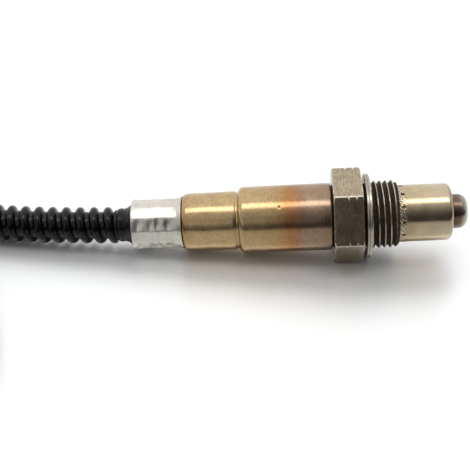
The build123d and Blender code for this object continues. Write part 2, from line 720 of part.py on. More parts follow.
def resistor_space():
    """Recess between the two rows of terminals, in the floor of the seal pocket."""
    x, y, z = RESISTOR_SIZE
    return block((SEAL_FLOOR, SEAL_FLOOR + x), (-y / 2, y / 2), (-z / 2, z / 2))


def plug_wire_seal():
    """Rubber mat seal in the rear pocket, with one hole per terminal."""
    width = PLUG_SIZE[0] - 2 * PLUG_WALL
    height = PLUG_SIZE[1] - 2 * PLUG_WALL
    seal = bar((PLUG_COVER_LENGTH, SEAL_FLOOR), width, height, PLUG_ROUND - 1)
    return seal - [rod((PLUG_COVER_LENGTH, SEAL_FLOOR), WIRE_R, y, z) for y in PIN_Y for z in PIN_Z]


def pin_blank(span, y, z):
    """Flat bar of a pin's section between the two ends of span."""
    width, height = PIN_SIZE
    return block(span, (y - width / 2, y + width / 2), (z - height / 2, z + height / 2))


def plug_pin(y, z):
    """Flat pin through the housing's wall, its free end bevelled."""
    pin = pin_blank(PIN_SPAN, y, z)
    return chamfer(pin.faces().sort_by(Axis.X)[-1].edges(), PIN_BEVEL)


# ---- All pieces ---------------------------------------------------------------------------------


def body_pieces():
    """Pieces of the sensor itself, in its own frame."""
    pieces = {
        "outer_protection_tube": outer_protection_tube(),
        "inner_protection_tube": inner_protection_tube(),
        "shell": shell(),
        "sealing_ring": sealing_ring(),
        "front_insulator": front_insulator(),
        "powder_seal": powder_seal(),
        "rear_insulator": rear_insulator(),
        "sensing_element": sensing_element(),
        "contact_holder_upper": contact_holder(1),
        "contact_holder_lower": contact_holder(-1),
        "holder_clip": holder_clip(),
        "wire_grommet": wire_grommet(),
        "protective_sleeve": protective_sleeve(),
        "crimp_collar": crimp_collar(),
        "conduit_cuff": conduit_cuff(),
    }
    for number, (side, strip_y, wire_y) in enumerate(WAYS, start=1):
        pieces[f"contact_{number}"] = contact(side, strip_y, wire_y)
        pieces[f"wire_{number}"] = wire(side, wire_y)
    return pieces


def plug_pieces():
    """Pieces of the plug, in its own frame."""
    pieces = {
        "plug_rear_cover": plug_rear_cover(),
        "plug_housing": plug_housing(),
        "plug_wire_seal": plug_wire_seal(),
        "terminal_lock": terminal_lock(),
        "trim_resistor": resistor_space(),
    }
    places = [(y, z) for z in PIN_Z for y in PIN_Y]
    for number, (y, z) in enumerate(places, start=1):
        pieces[f"plug_pin_{number}"] = plug_pin(y, z)
    return pieces


def main():
    """Builds every piece where it lies and writes one STEP file for each."""
    pieces = {name: at_rest(piece) for name, piece in body_pieces().items()}
    pieces.update({name: plug_rest(piece) for name, piece in plug_pieces().items()})
    pieces["conduit_lead"] = conduit_tube(lead_points())
    pieces["conduit_coil"] = conduit_coil()
    pieces["conduit_tail"] = conduit_tube(TAIL_POINTS)
    pieces["coil_tie"] = coil_tie()

    os.makedirs("parts", exist_ok=True)
    for name, piece in pieces.items():
        export_step(piece, f"parts/{name}.step")

    for name, points in (("lead", lead_points()), ("tail", TAIL_POINTS)):
        print(name, "arc radii:", ", ".join(f"{radius:.1f}" for radius in bend_radii(points)))
    return pieces


if __name__ == "__main__":
    main()
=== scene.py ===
"""Oxygen sensor with a corrugated lead: its looks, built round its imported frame.

Laid out as an add-on: the sizes and colours are properties, and each piece or group of like
pieces has an operator. The sensor's own frame has its axis as X, in millimetres, with 0 where
the axis meets the hexagon's front face. The lead and the stage are in the row frame, in metres.
"""

import json
import math

import bpy
import numpy as np
from mathutils import Matrix, Vector


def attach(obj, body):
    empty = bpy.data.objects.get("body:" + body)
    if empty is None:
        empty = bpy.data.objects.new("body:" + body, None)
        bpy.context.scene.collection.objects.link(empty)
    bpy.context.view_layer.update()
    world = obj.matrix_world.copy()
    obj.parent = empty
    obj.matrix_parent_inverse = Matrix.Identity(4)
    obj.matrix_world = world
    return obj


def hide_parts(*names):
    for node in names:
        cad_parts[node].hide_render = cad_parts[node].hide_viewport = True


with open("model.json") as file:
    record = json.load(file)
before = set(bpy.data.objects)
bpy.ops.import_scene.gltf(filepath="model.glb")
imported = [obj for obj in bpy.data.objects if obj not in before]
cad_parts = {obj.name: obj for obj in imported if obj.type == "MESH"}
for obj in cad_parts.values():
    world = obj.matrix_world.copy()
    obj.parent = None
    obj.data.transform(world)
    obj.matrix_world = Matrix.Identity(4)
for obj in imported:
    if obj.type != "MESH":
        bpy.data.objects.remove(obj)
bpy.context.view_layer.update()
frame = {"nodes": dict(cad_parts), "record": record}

bl_info = {
    "name": "Oxygen Sensor",
    "version": (1, 0, 0),
    "blender": (4, 5, 0),
    "location": "View3D > Sidebar > Sensor",
    "description": "Builds the visible surfaces and finishes of an oxygen sensor on its frame",
    "category": "Object",
}

MM = 0.001

# ---- The sensor's own frame, read from its thread ------------------------------------------------

THREAD_MOUNT = next(m for m in frame["record"]["mounts"] if m["name"] == "thread")
THREAD_MIDDLE_X = 5.65
AXIS = np.array(THREAD_MOUNT["axis"], float)
SIDE = np.array((0.0, 1.0, 0.0))
LIFT = np.cross(AXIS, SIDE)
ORIGIN = np.array(THREAD_MOUNT["pos_m"], float) - AXIS * THREAD_MIDDLE_X * MM
TILT = math.asin(AXIS[2])

# ---- Sizes that no user would change, in millimetres ---------------------------------------------

HEX_SPAN = (-7.6, 0.0)
HEX_FLATS = 22.0
HEX_CORNER_ROUND = 0.4
HEX_FACE_R = 12.2  # where the corners' chamfer meets the end faces
CHAMFER_SLOPE = 0.577  # along the axis for each millimetre out
HEX_NICKS_X = (-3.9, -1.86)  # tool marks across every corner
NICK_DEPTH = 0.42
NICK_HALF_WIDTH = 0.16
NICK_TURN = math.radians(2.0)  # how far a nick reaches round the axis
RELIEF_R = 8.2
THREAD_R = 8.92
THREAD_ROOT_R = 8.08
THREAD_PITCH = 1.5
THREAD_CREST_X = 4.07  # a crest on the camera's side, -Y
THREAD_ROOT_SHARE = 0.12  # flat at the root, as a share of half the pitch
THREAD_FLANK_SHARE = 0.82
THREAD_DIRT = (0.04, 0.2)  # below the crests: where dirt starts and where it is full
THREAD_RUBBED = (0.05, 0.01)  # below the crests: where rubbing starts and where it is full
THREAD_X = (2.5, 9.25)
THREAD_LIMIT = ((2.5, 2.8, 8.3, 9.3), (8.2, 8.92, 8.92, 8.15))  # own x and greatest radius there
RING_DROP = 0.3
COLLAR_R = 6.7
CRIMP_FLAT = math.pi / 6  # turn that each pressed flat takes
CRIMP_EDGE = math.radians(50)  # an edge between two pressed flats, from -Y upwards
CRIMP_SOFTNESS = np.radians((-3.0, -1.0, 1.0, 3.0))  # an edge is the mean over these turns
# Own x, half length and depth of the dents in every other flat
CRIMP_DENTS = ((-58.5, 0.9, 0.3), (-55.1, 0.7, 0.26), (-53.4, 0.5, 0.34), (-50.6, 0.9, 0.28))
# Own x, half width and strength of the fine rings drawn into the sleeve
SLEEVE_RINGS = ((-46.1, 0.1, 1.0), (-45.3, 0.08, 1.0), (-9.4, 0.07, 1.0), (-10.2, 0.06, 0.7))
BURN_X = -21.44  # a burnt spot on the sleeve
BURN_TURN = math.radians(57.5)
TUBE_R = 7.5
GAS_HOLE_X = 10.42
GAS_HOLE_DEPTHS = (0.55, 0.25, 0.5, 0.35, 0.6, 0.4) * 2  # unevenly clogged
FIRST_GAS_HOLE = -10.5  # degrees from -Y upwards
# Waves of the spatter: how many round the tube, and radians for each millimetre along it
SPATTER_WAVES = ((31, 6.1), (47, -7.7), (59, 3.4), (23, -11.3), (71, 8.6))
EDGE_ROUND = 0.15  # broken edge of turned and pressed metal

# ---- The lead's route, in metres, as it lies on the surface --------------------------------------

CONDUIT_R = 0.0049
LEAD_ROUTE = (
    (-0.045949, 0.0, 0.006774),
    (-0.057917, 0.0004, 0.0061),
    (-0.0715, 0.0016, 0.0053),
    (-0.086, 0.0033, 0.0049),
    (-0.1005, 0.0046, 0.0049),
    (-0.115, 0.004, 0.0049),
)
COIL_CENTRE = (-0.128, -0.048)
COIL_R = 0.052
COIL_TURN = (90.0, 540.0)  # degrees about the coil's centre, from +X
COIL_RISE = (375.0, 432.0)  # where the lead climbs on top of its first turn
COIL_STEP = 0.0099
POINTS_PER_TURN = 18
TAIL_ROUTE = (
    (-0.18, -0.0563, 0.0148),
    (-0.1786, -0.0644, 0.0148),
    (-0.1758, -0.0721, 0.0148),
    (-0.1716, -0.0791, 0.0149),
    (-0.1663, -0.0854, 0.0154),
    (-0.1601, -0.0906, 0.0162),
    (-0.1528, -0.0946, 0.0171),
    (-0.1449, -0.0974, 0.0179),
    (-0.1363, -0.0988, 0.0183),
    (-0.1258, -0.0988, 0.0183),
)
TIE_TURN = 135.0
TIE_HALF_WIDTH = 0.0016
TIED_R = 0.0038  # the conduit where the tie grips it
RIB_ROWS = 16  # rows of the mesh for each pitch
RIB_COLUMNS = 36
RIB_SHARE = 0.335  # half a rib's width, as a share of the pitch
RIB_POWER = 0.55  # the lower, the flatter the crest
FIRST_CREST = 0.0021  # along the lead, on its upper side

# ---- Camera --------------------------------------------------------------------------------------

CAMERA_PLACE = (-0.01163, -0.19116, 0.1607)
CAMERA_ELEVATION = 39.34
CAMERA_YAW = 0.84
CAMERA_ROLL = 0.387
CAMERA_LENS = 70.3


def linear(code):
    """Linear RGBA of an sRGB colour written as #rrggbb."""
    channels = np.array([int(code[i : i + 2], 16) for i in (1, 3, 5)]) / 255
    low = channels / 12.92
    high = ((channels + 0.055) / 1.055) ** 2.4
    return (*np.where(channels <= 0.04045, low, high).tolist(), 1.0)


# ---- Surfaces ------------------------------------------------------------------------------------


def in_row(x, y, z):
    """Row-frame metres of own-frame millimetres: the origin plus x, y and z along its axes."""
    offset = x[..., None] * AXIS + y[..., None] * SIDE + z[..., None] * LIFT
    return ORIGIN + offset * MM


def outline(corners, closed=False, step=0.25, turns=8):
    """Points of a profile through (x, r, round) corners.

    Each corner becomes an arc tangent to both of its runs, worked out from the bisector of the
    corner, and every run is then divided evenly, about `step` apart.
    """
    spots = [np.array(c[:2], float) for c in corners]
    rounds = [c[2] if len(c) > 2 else EDGE_ROUND for c in corners]
    found = []
    for i, (spot, size) in enumerate(zip(spots, rounds)):
        if not closed and i in (0, len(spots) - 1):
            found.append(spot[None])
            continue
        back = spots[i - 1] - spot
        ahead = spots[(i + 1) % len(spots)] - spot
        back, ahead = back / np.linalg.norm(back), ahead / np.linalg.norm(ahead)
        half = math.acos(np.clip(back @ ahead, -1, 1)) / 2
        bisector = (back + ahead) / np.linalg.norm(back + ahead)
        centre = spot + bisector * size / math.sin(half)
        start = spot + back * size / math.tan(half) - centre
        stop = spot + ahead * size / math.tan(half) - centre
        share = np.linspace(0, 1, turns)[:, None]
        arc = math.pi - 2 * half
        weights = np.sin((1 - share) * arc) * start + np.sin(share * arc) * stop
        found.append(centre + weights / math.sin(arc))
    points = np.concatenate(found)
    if closed:
        points = np.concatenate([points, points[:1]])
    lengths = np.linalg.norm(np.diff(points, axis=0), axis=1)
    parts = np.maximum(1, np.ceil(lengths / step)).astype(int)
    starts = np.repeat(np.arange(len(lengths)), parts)
    inside = np.arange(parts.sum()) - np.repeat(np.cumsum(parts) - parts, parts)
    share = (inside / parts[starts])[:, None]
    divided = points[starts] * (1 - share) + points[starts + 1] * share
    return divided if closed else np.concatenate([divided, points[-1:]])


def skin(name, grid, loop=False, marks=None):
    """Mesh object over a grid of points, (along, around, 3).

    The surface closes on itself around. Along, it closes on itself as a loop, or ends in a pole at
    the middle of each end row. marks are point attributes, each a number for every grid point.
    """
    rows, columns = grid.shape[:2]
    row = np.arange(rows if loop else rows - 1)[:, None]
    column = np.arange(columns)[None]
    after, beside = (row + 1) % rows, (column + 1) % columns
    corners = (
        row * columns + column,
        row * columns + beside,
        after * columns + beside,
        after * columns + column,
    )
    faces = np.stack(corners, axis=-1).reshape(-1, 4).tolist()
    points = grid.reshape(-1, 3)
    if not loop:
        first, last = rows * columns, rows * columns + 1
        points = np.concatenate([points, grid[:1].mean(1), grid[-1:].mean(1)])
        turn = column.ravel()
        opens = np.stack([beside.ravel(), turn, np.full(columns, first)], axis=-1)
        tail = (rows - 1) * columns
        shuts = np.stack([tail + turn, tail + beside.ravel(), np.full(columns, last)], -1)
        faces += opens.tolist() + shuts.tolist()
    mesh = bpy.data.meshes.new(name)
    mesh.from_pydata(points.tolist(), [], faces)
    for label, values in (marks or {}).items():
        flat = np.ravel(values)
        if len(flat) < len(points):
            flat = np.concatenate([flat, [flat[0], flat[-1]]])
        attribute = mesh.attributes.new(label, "FLOAT", "POINT")
        attribute.data.foreach_set("value", flat.astype(np.float32))
    if volume(mesh) < 0:
        mesh.flip_normals()
    mesh.shade_smooth()
    made = bpy.data.objects.new(name, mesh)
    bpy.context.scene.collection.objects.link(made)
    return made


def volume(mesh):
    """Signed volume: a sixth of the sum of a . (b x c) over the triangles, positive faces out."""
    mesh.calc_loop_triangles()
    corner = np.zeros(len(mesh.loop_triangles) * 3, np.int32)
    mesh.loop_triangles.foreach_get("vertices", corner)
    places = np.zeros(len(mesh.vertices) * 3)
    mesh.vertices.foreach_get("co", places)
    places = places.reshape(-1, 3)
    a, b, c = places[corner.reshape(-1, 3)].transpose(1, 0, 2)
    return np.einsum("ij,ij->", a, np.cross(b, c)) / 6


def spun(name, points, columns=144, shift=None, drop=0.0):
    """Closed surface of a closed profile of (x, r) points turned about the sensor's axis.

    shift(x, r, turn) gives what is added to x and to r at each angle, measured in radians
    from the camera's side, -Y, upwards, and may add the piece's marks. drop lowers the piece.
    """
    turn = np.linspace(0, 2 * math.pi, columns, endpoint=False)[None]
    x = np.repeat(points[:, :1], columns, axis=1)
    r = np.repeat(points[:, 1:2], columns, axis=1)
    marks = []
    if shift is not None:
        along, out, *marks = shift(x, r, turn)
        x, r = x + along, r + out
    grid = in_row(x, -r * np.cos(turn), r * np.sin(turn) - drop)
    return skin(name, grid, loop=True, marks=marks[0] if marks else None)


def bump_at(value, middle, width):
    """Bell-shaped rise: the exponential of minus the squared distance over the width."""
    return np.exp(-(((value - middle) / width) ** 2))


def finish_piece(piece, material, slot, *nodes):
    """Gives a new piece its material, and stands it in for its nodes on the body; slot is not used.
    """
    piece.data.materials.clear()
    piece.data.materials.append(material)
    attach(piece, "root")
    if nodes:
        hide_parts(*nodes)
    return piece


def dress(material, *nodes):
    """Gives CAD nodes a material."""
    for name in nodes:
        mesh = frame["nodes"][name].data
        mesh.materials.clear()
        mesh.materials.append(material)


# ---- Materials -----------------------------------------------------------------------------------


RANGE = ("From Min", "From Max", "To Min", "To Max")  # a Map Range node's limits


def node(tree, kind, inputs=None, stops=None, **settings):
    """Adds a node: settings are its own properties, inputs its sockets, each a value or a link."""
    made = tree.nodes.new(kind)
    for key, value in settings.items():
        setattr(made, key, value)
    for key, value in (inputs or {}).items():
        if isinstance(value, bpy.types.NodeSocket):
            tree.links.new(value, made.inputs[key])
        else:
            made.inputs[key].default_value = value
    if stops:
        elements = made.color_ramp.elements
        while len(elements) < len(stops):
            elements.new(1.0)
        for element, (place, colour) in zip(elements, stops):
            element.position = place
            element.color = linear(colour) if isinstance(colour, str) else (*(colour,) * 3, 1.0)
    return made


def new_material(name):
    """Empty node material with its output node."""
    material = bpy.data.materials.get(name) or bpy.data.materials.new(name)
    material.use_nodes = True
    material.node_tree.nodes.clear()
    tree = material.node_tree
    return material, tree, node(tree, "ShaderNodeOutputMaterial")


def own_millimetres(tree):
    """Object coordinates turned into the sensor's own frame, in millimetres."""
    place = node(tree, "ShaderNodeTexCoord").outputs["Object"]
    inputs = {
        "Vector": place,
        "Location": ORIGIN.tolist(),
        "Rotation": (0.0, -TILT, 0.0),
        "Scale": (MM, MM, MM),
    }
    return node(tree, "ShaderNodeMapping", inputs, vector_type="TEXTURE").outputs[0]


def metal_surface(name, tones, wander, roughness, lines, grit, grimy="#000000", worn="#ffffff"):
    """Worked steel in the sensor's own frame.

    tones are (own x in mm, colour) stops along the axis, wander how far in mm a noise moves
    them. lines is (spacing mm, depth mm, share of shade) of the marks round the axis, and grit is
    (grain mm, depth mm, share of shade). grimy and worn are the colours of dirt and of rubbed
    edges, where the surface carries "grime" and "wear" attributes. On the tube the grime is also
    painted shade and the wear is painted glints, and on the hexagon's upper corner the wear is
    partly a painted highlight. Real tool marks and grain are about 0.1 mm wide, too fine to show,
    so both are drawn several times as coarse.
    """
    material, tree, output = new_material(name)
    place = own_millimetres(tree)
    split = node(tree, "ShaderNodeSeparateXYZ", {0: place})
    # Clouds some millimetres wide, the grain, and marks stretched eightfold round the axis
    cloud = node(tree, "ShaderNodeTexNoise", {"Vector": place, "Scale": 0.35, "Detail": 6.0})
    grain = node(tree, "ShaderNodeTexNoise", {"Vector": place, "Scale": 1 / grit[0], "Detail": 3.0})
    stretched = node(
        tree,
        "ShaderNodeMapping",
        {"Vector": place, "Scale": (1 / lines[0], 0.12 / lines[0], 0.12 / lines[0])},
    )
    marks = node(tree, "ShaderNodeTexNoise", {"Vector": stretched.outputs[0], "Detail": 2.0})
    wear = node(tree, "ShaderNodeAttribute", attribute_name="wear").outputs["Fac"]
    grime = node(tree, "ShaderNodeAttribute", attribute_name="grime").outputs["Fac"]
    # A noise, the span of it that counts, and what that span becomes
    spans = {
        "wandered": (cloud, 0.0, 1.0, -wander, wander),
        "specks": (grain, 0.3, 0.55, 1 - grit[2], 1.0),
        "stain": (cloud, 0.35, 0.6, 0.88, 1.0),
        "streaks": (marks, 0.35, 0.6, 1 - lines[2], 1.0),
        "rubbed": (marks, 0.3, 0.6, 0.5, 1.0),
        "caught": (grain, 0.3, 0.6, 1.0, 0.92),
        "gloss": (cloud, 0.3, 0.7, roughness * 0.88, roughness * 1.15),
    }
    ranged = {
        label: node(
            tree, "ShaderNodeMapRange", {"Value": noise.outputs["Fac"], **dict(zip(RANGE, limits))}
        ).outputs[0]
        for label, (noise, *limits) in spans.items()
    }
    low, high = tones[0][0], tones[-1][0]
    moved = node(tree, "ShaderNodeMath", {0: split.outputs["X"], 1: ranged["wandered"]})
    along = node(
        tree, "ShaderNodeMapRange", {"Value": moved.outputs[0], "From Min": low, "From Max": high}
    )
    stops = [((x - low) / (high - low), colour) for x, colour in tones]
    tint = node(tree, "ShaderNodeValToRGB", {"Fac": along.outputs[0]}, stops=stops)
    clouded = node(
        tree, "ShaderNodeMath", {0: ranged["specks"], 1: ranged["stain"]}, operation="MULTIPLY"
    )
    shade = node(
        tree, "ShaderNodeMath", {0: clouded.outputs[0], 1: ranged["streaks"]}, operation="MULTIPLY"
    )
    # Rubbed colour where worn; also the painted highlight on the hexagon's upper corner and painted
    # glints on the tube's spatter
    rubbed_and_glint = node(tree, "ShaderNodeMath", {0: wear, 1: ranged["rubbed"]}, operation="MULTIPLY")
    # Dirt colour where grimy; also painted shade in the tube's pits and in its spatter's hollows
    dirt = node(tree, "ShaderNodeMath", {0: grime, 1: ranged["caught"]}, operation="MULTIPLY")
    layers = (
        (1.0, shade.outputs[0], "MULTIPLY"),
        (rubbed_and_glint.outputs[0], linear(worn), "MIX"),
        (dirt.outputs[0], linear(grimy), "MIX"),
    )
    colour = tint.outputs[0]
    for share, layer, blend in layers:
        inputs = {0: share, 6: colour, 7: layer}
        mix = node(tree, "ShaderNodeMix", inputs, data_type="RGBA", blend_type=blend)
        colour = mix.outputs[2]
    dulled = node(
        tree,
        "ShaderNodeMath",
        {0: dirt.outputs[0], 1: 0.4, 2: ranged["gloss"]},
        operation="MULTIPLY_ADD",
    )
    metallic = node(
        tree, "ShaderNodeMapRange", {"Value": dirt.outputs[0], "To Min": 1.0, "To Max": 0.15}
    )
    height = node(
        tree, "ShaderNodeBump", {"Distance": lines[1] * MM, "Height": marks.outputs["Fac"]}
    )
    height = node(
        tree,
        "ShaderNodeBump",
        {
            "Distance": grit[1] * MM,
            "Height": grain.outputs["Fac"],
            "Normal": height.outputs[0],
        },
    )
    steel = node(
        tree,
        "ShaderNodeBsdfPrincipled",
        {
            "Base Color": colour,
            "Metallic": metallic.outputs[0],
            "Roughness": dulled.outputs[0],
            "Specular IOR Level": 0.08,  # for the dirt, which hardly shines
            "Normal": height.outputs[0],
        },
    )
    tree.links.new(steel.outputs[0], output.inputs[0])
    return material


def moulded_surface(name, colour, roughness, grit, dust="#000000", dusty=0.0, sheen=0.5):
    """Moulded rubber or plastic: one colour, a fine eroded grain and a little settled dust.

    grit is (grain mm, depth mm), and sheen the level of the surface's own reflection. The real
    grain is 0.1 mm or less, too fine to show, so it is drawn coarser.
    """
    material, tree, output = new_material(name)
    place = own_millimetres(tree)
    grain = node(
        tree, "ShaderNodeTexNoise", {"Vector": place, "Scale": 1 / grit[0], "Detail": 3.0}
    )
    cloud = node(tree, "ShaderNodeTexNoise", {"Vector": place, "Scale": 0.3, "Detail": 4.0})
    film = node(
        tree,
        "ShaderNodeMapRange",
        {"Value": cloud.outputs["Fac"], "From Min": 0.45, "From Max": 0.75, "To Max": dusty},
    )
    inputs = {0: film.outputs[0], 6: linear(colour), 7: linear(dust)}
    tone = node(tree, "ShaderNodeMix", inputs, data_type="RGBA")
    texture = node(
        tree, "ShaderNodeBump", {"Distance": grit[1] * MM, "Height": grain.outputs["Fac"]}
    )
    gloss = node(
        tree,
        "ShaderNodeMapRange",
        {"Value": cloud.outputs["Fac"], "To Min": roughness * 0.85, "To Max": roughness * 1.2},
    )
    plastic = node(
        tree,
        "ShaderNodeBsdfPrincipled",
        {
            "Base Color": tone.outputs[2],
            "Roughness": gloss.outputs[0],
            "IOR": 1.5,
            "Specular IOR Level": sheen,
            "Normal": texture.outputs[0],
        },
    )
    tree.links.new(plastic.outputs[0], output.inputs[0])
    return material


def heat_tinted_stainless():
    """Drawn stainless sheet tinted by heat: a soft mirror, straw, then orange, then violet."""
    tones = (
        (-47.0, "#b8956a"),
        (-45.8, "#bb9d72"),
        (-44.0, "#c6aa7f"),
        (-33.0, "#c6ab80"),
        (-25.0, "#bfa378"),
        (-21.4, "#bc986a"),
        (-19.2, "#b68456"),
        (-17.4, "#b3815b"),
        (-15.9, "#a7876f"),
        (-14.0, "#a88d75"),
        (-11.0, "#a48b74"),
        (-8.6, "#9c836d"),
    )
    return metal_surface(
        "heat_tinted_stainless", tones, 2.2, 0.2, (0.75, 0.002, 0.14), (0.8, 0.002, 0.16)
    )


def turned_stainless():
    """Turned bar dulled brown by use: scratched flats, rubbed corners with a painted highlight on
    the upper one, and a dirty thread.
    """
    tones = ((-7.6, "#b7a88f"), (0.0, "#b7a88e"), (9.3, "#baac95"))
    lines, grit = (0.9, 0.01, 0.4), (0.9, 0.002, 0.05)
    return metal_surface("turned_stainless", tones, 0.0, 0.22, lines, grit, "#2c241a", "#e8e2d6")


def ring_metal():
    """Folded stainless strip: smooth and grey, with a clean gloss on its folds."""
    # Darker at the end against the hexagon: painted shade between the ring and the hexagon
    tones = ((0.7, "#a29a8f"), (2.4, "#cac3b5"))
    lines, grit = (0.3, 0.002, 0.05), (0.6, 0.003, 0.15)
    return metal_surface("folded_stainless_strip", tones, 0.0, 0.22, lines, grit)


def straw_stainless():
    """Deep-drawn tube: a clear mirror of pale straw, its pits and gas holes darkened by soot and
    painted shade.
    """
    tones = ((8.0, "#af9e83"), (11.5, "#bfab89"), (14.0, "#c7b696"), (23.1, "#cbba9f"))
    # Left at white, its rubbed colour paints the glints on the spatter
    return metal_surface(
        "straw_stainless", tones, 0.6, 0.19, (0.45, 0.0012, 0.06), (0.5, 0.0012, 0.1), "#2a2119"
    )


def sooted_stainless():
    """Drawn nose of the inner tube: brown from the exhaust, pale over its front rounding as a
    painted reflection.
    """
    # Brown body, then pale over the front rounding: painted reflection
    tones = ((23.1, "#635144"), (25.2, "#7f6a59"), (26.1, "#b9afa2"), (27.4, "#e8e2d7"))
    return metal_surface("sooted_stainless", tones, 0.3, 0.24, (0.3, 0.002, 0.1), (0.4, 0.004, 0.2))


def bright_strip():
    """Crimped collar of bright rolled strip: nearly white, with broad soft highlights."""
    tones = ((-60.3, "#dfdbd3"), (-47.2, "#dbd6cb"))
    lines, grit = (0.5, 0.003, 0.1), (1.2, 0.012, 0.1)
    return metal_surface("bright_rolled_strip", tones, 0.0, 0.31, lines, grit)


def black_polyamide():
    """Extruded corrugated conduit: black polyamide with a soft gloss."""
    grit = (0.35, 0.0015)
    return moulded_surface("black_polyamide_conduit", "#020206", 0.16, grit, "#0a0b11", 0.2, 0.3)


def black_rubber():
    """Moulded rubber: black, duller than the conduit, with a little settled dust."""
    grit = (0.4, 0.002)
    return moulded_surface("moulded_black_rubber", "#030305", 0.26, grit, "#0e0f13", 0.2, 0.28)


def fired_ceramic():
    """Fired alumina: off-white, dry and fine-grained."""
    return moulded_surface("fired_alumina", "#e4e1d8", 0.55, (0.3, 0.004), "#cfc9bc", 0.4)


def wire_jacket():
    """Extruded fluoropolymer insulation: pale grey and waxy."""
    return moulded_surface("fluoropolymer_jacket", "#c4c1b8", 0.35, (0.5, 0.002))


def sealing_rubber():
    """Moulded silicone seal: brick red, dull."""
    return moulded_surface("silicone_seal", "#7a3b26", 0.5, (0.4, 0.004))


def lock_polyester():
    """Moulded polyester comb: muted violet."""
    return moulded_surface("violet_polyester", "#55406f", 0.4, (0.3, 0.003))


def moulded_housing():
    """Moulded glass-filled polyamide of the plug: black, with an eroded grain."""
    grit = (0.25, 0.006)
    return moulded_surface("black_moulded_polyamide", "#121316", 0.45, grit, "#2a2b2f", 0.25)


def sprung_strip():
    """Cold-rolled spring strip, grey and fine-lined."""
    tones = ((-36.0, "#9b9893"), (-20.0, "#a19e99"))
    lines, grit = (0.3, 0.001, 0.05), (0.5, 0.001, 0.05)
    return metal_surface("cold_rolled_spring_strip", tones, 0.0, 0.28, lines, grit)


def tinned_alloy():
    """Tinned copper alloy of the pins: soft grey, slightly warm."""
    tones = ((-60.0, "#b9b4aa"), (60.0, "#b9b4aa"))
    lines, grit = (0.3, 0.001, 0.02), (0.5, 0.001, 0.05)
    return metal_surface("tinned_copper_alloy", tones, 0.0, 0.3, lines, grit)


# ---- Pieces --------------------------------------------------------------------------------------


def shell_turns():
    """Angles round the shell from -Y upwards, closest together at the hexagon's corners."""
    share = np.linspace(-1, 1, 40, endpoint=False)
    within = math.pi / 6 * np.sign(share) * np.abs(share) ** 1.6
    corners = np.arange(6) * math.pi / 3
    return (corners[:, None] + within).reshape(1, -1)


def from_corner(turn):
    """Angle to the nearest corner of the hexagon, in radians."""
    return np.abs((turn + math.pi / 6) % (math.pi / 3) - math.pi / 6)


def hexagon_radius(turn):
    """Radius of the rounded hexagon: the flats' distance over a cosine, arcs at the corners."""
    off = from_corner(turn)
    sixth = math.pi / 6
    centre = (HEX_FLATS / 2 - HEX_CORNER_ROUND) / math.cos(sixth)
    meets = math.atan2(
        HEX_CORNER_ROUND * math.sin(sixth), centre + HEX_CORNER_ROUND * math.cos(sixth)
    )
    inside = np.maximum(HEX_CORNER_ROUND**2 - (centre * np.sin(off)) ** 2, 0)
    arc = centre * np.cos(off) + np.sqrt(inside)
    return np.where(off < meets, arc, HEX_FLATS / 2 / np.cos(sixth - off))


def hexagon_rows(turn, rows=84, round_rows=7):
    """Rows of the hexagon from its rear face to its front face, as x and r arrays.

    At each angle an end is a cubic curve from the face over the chamfer to the side, which wears
    it round. The corners carry nicks: bell-shaped dips along the axis and round it.
    """
    side = hexagon_radius(turn)
    face = np.minimum(side, HEX_FACE_R)
    chamfer = (side - face) * CHAMFER_SLOPE
    t = np.linspace(0, 1, round_rows)[:, None]
    weights = ((1 - t) ** 3, 3 * t * (1 - t) ** 2, 3 * t * t * (1 - t), t**3)
    reach = (0 * side, 0 * side, chamfer, chamfer + EDGE_ROUND)
    rise = (face - EDGE_ROUND, face, side, side)
    end_x = sum(w * v for w, v in zip(weights, reach))
    end_r = sum(w * v for w, v in zip(weights, rise))
    share = np.linspace(0, 1, rows)[1:-1, None]
    start, stop = HEX_SPAN[0] + end_x[-1:], HEX_SPAN[1] - end_x[-1:]
    x = np.concatenate(
        [HEX_SPAN[0] + end_x, start + (stop - start) * share, HEX_SPAN[1] - end_x[::-1]]
    )
    r = np.concatenate([end_r, np.repeat(side, rows - 2, axis=0), end_r[::-1]])
    at_corner = bump_at(from_corner(turn), 0, NICK_TURN)
    for i, nick_x in enumerate(HEX_NICKS_X):
        wandering_x = nick_x + 0.05 * np.sin(3 * turn + i)
        r = r - NICK_DEPTH * bump_at(x, wandering_x, NICK_HALF_WIDTH) * at_corner
    return x, r


def thread_rows(turn, rows=112):
    """Rows of the thread: a helical 60-degree groove with narrow flats, within the ends' cones.

    The radius rises from root to crest with the distance from the middle of the groove, and that
    distance repeats each pitch along the axis and each turn round it, right-handed. A product of
    sines wears the crests unevenly.
    """
    x = np.linspace(*THREAD_X, rows)[:, None] + 0 * turn
    phase = (x - THREAD_CREST_X) / THREAD_PITCH + turn / (2 * math.pi)
    from_groove = 2 * np.abs(phase % 1 - 0.5)
    flank = np.clip((from_groove - THREAD_ROOT_SHARE) / THREAD_FLANK_SHARE, 0, 1)
    worn = 0.03 * np.sin(7 * turn + 2 * x) * np.sin(17 * turn - 3 * x) ** 2
    r = THREAD_ROOT_R + (THREAD_R - THREAD_ROOT_R + worn) * flank
    return x, np.minimum(r, np.interp(x, *THREAD_LIMIT))


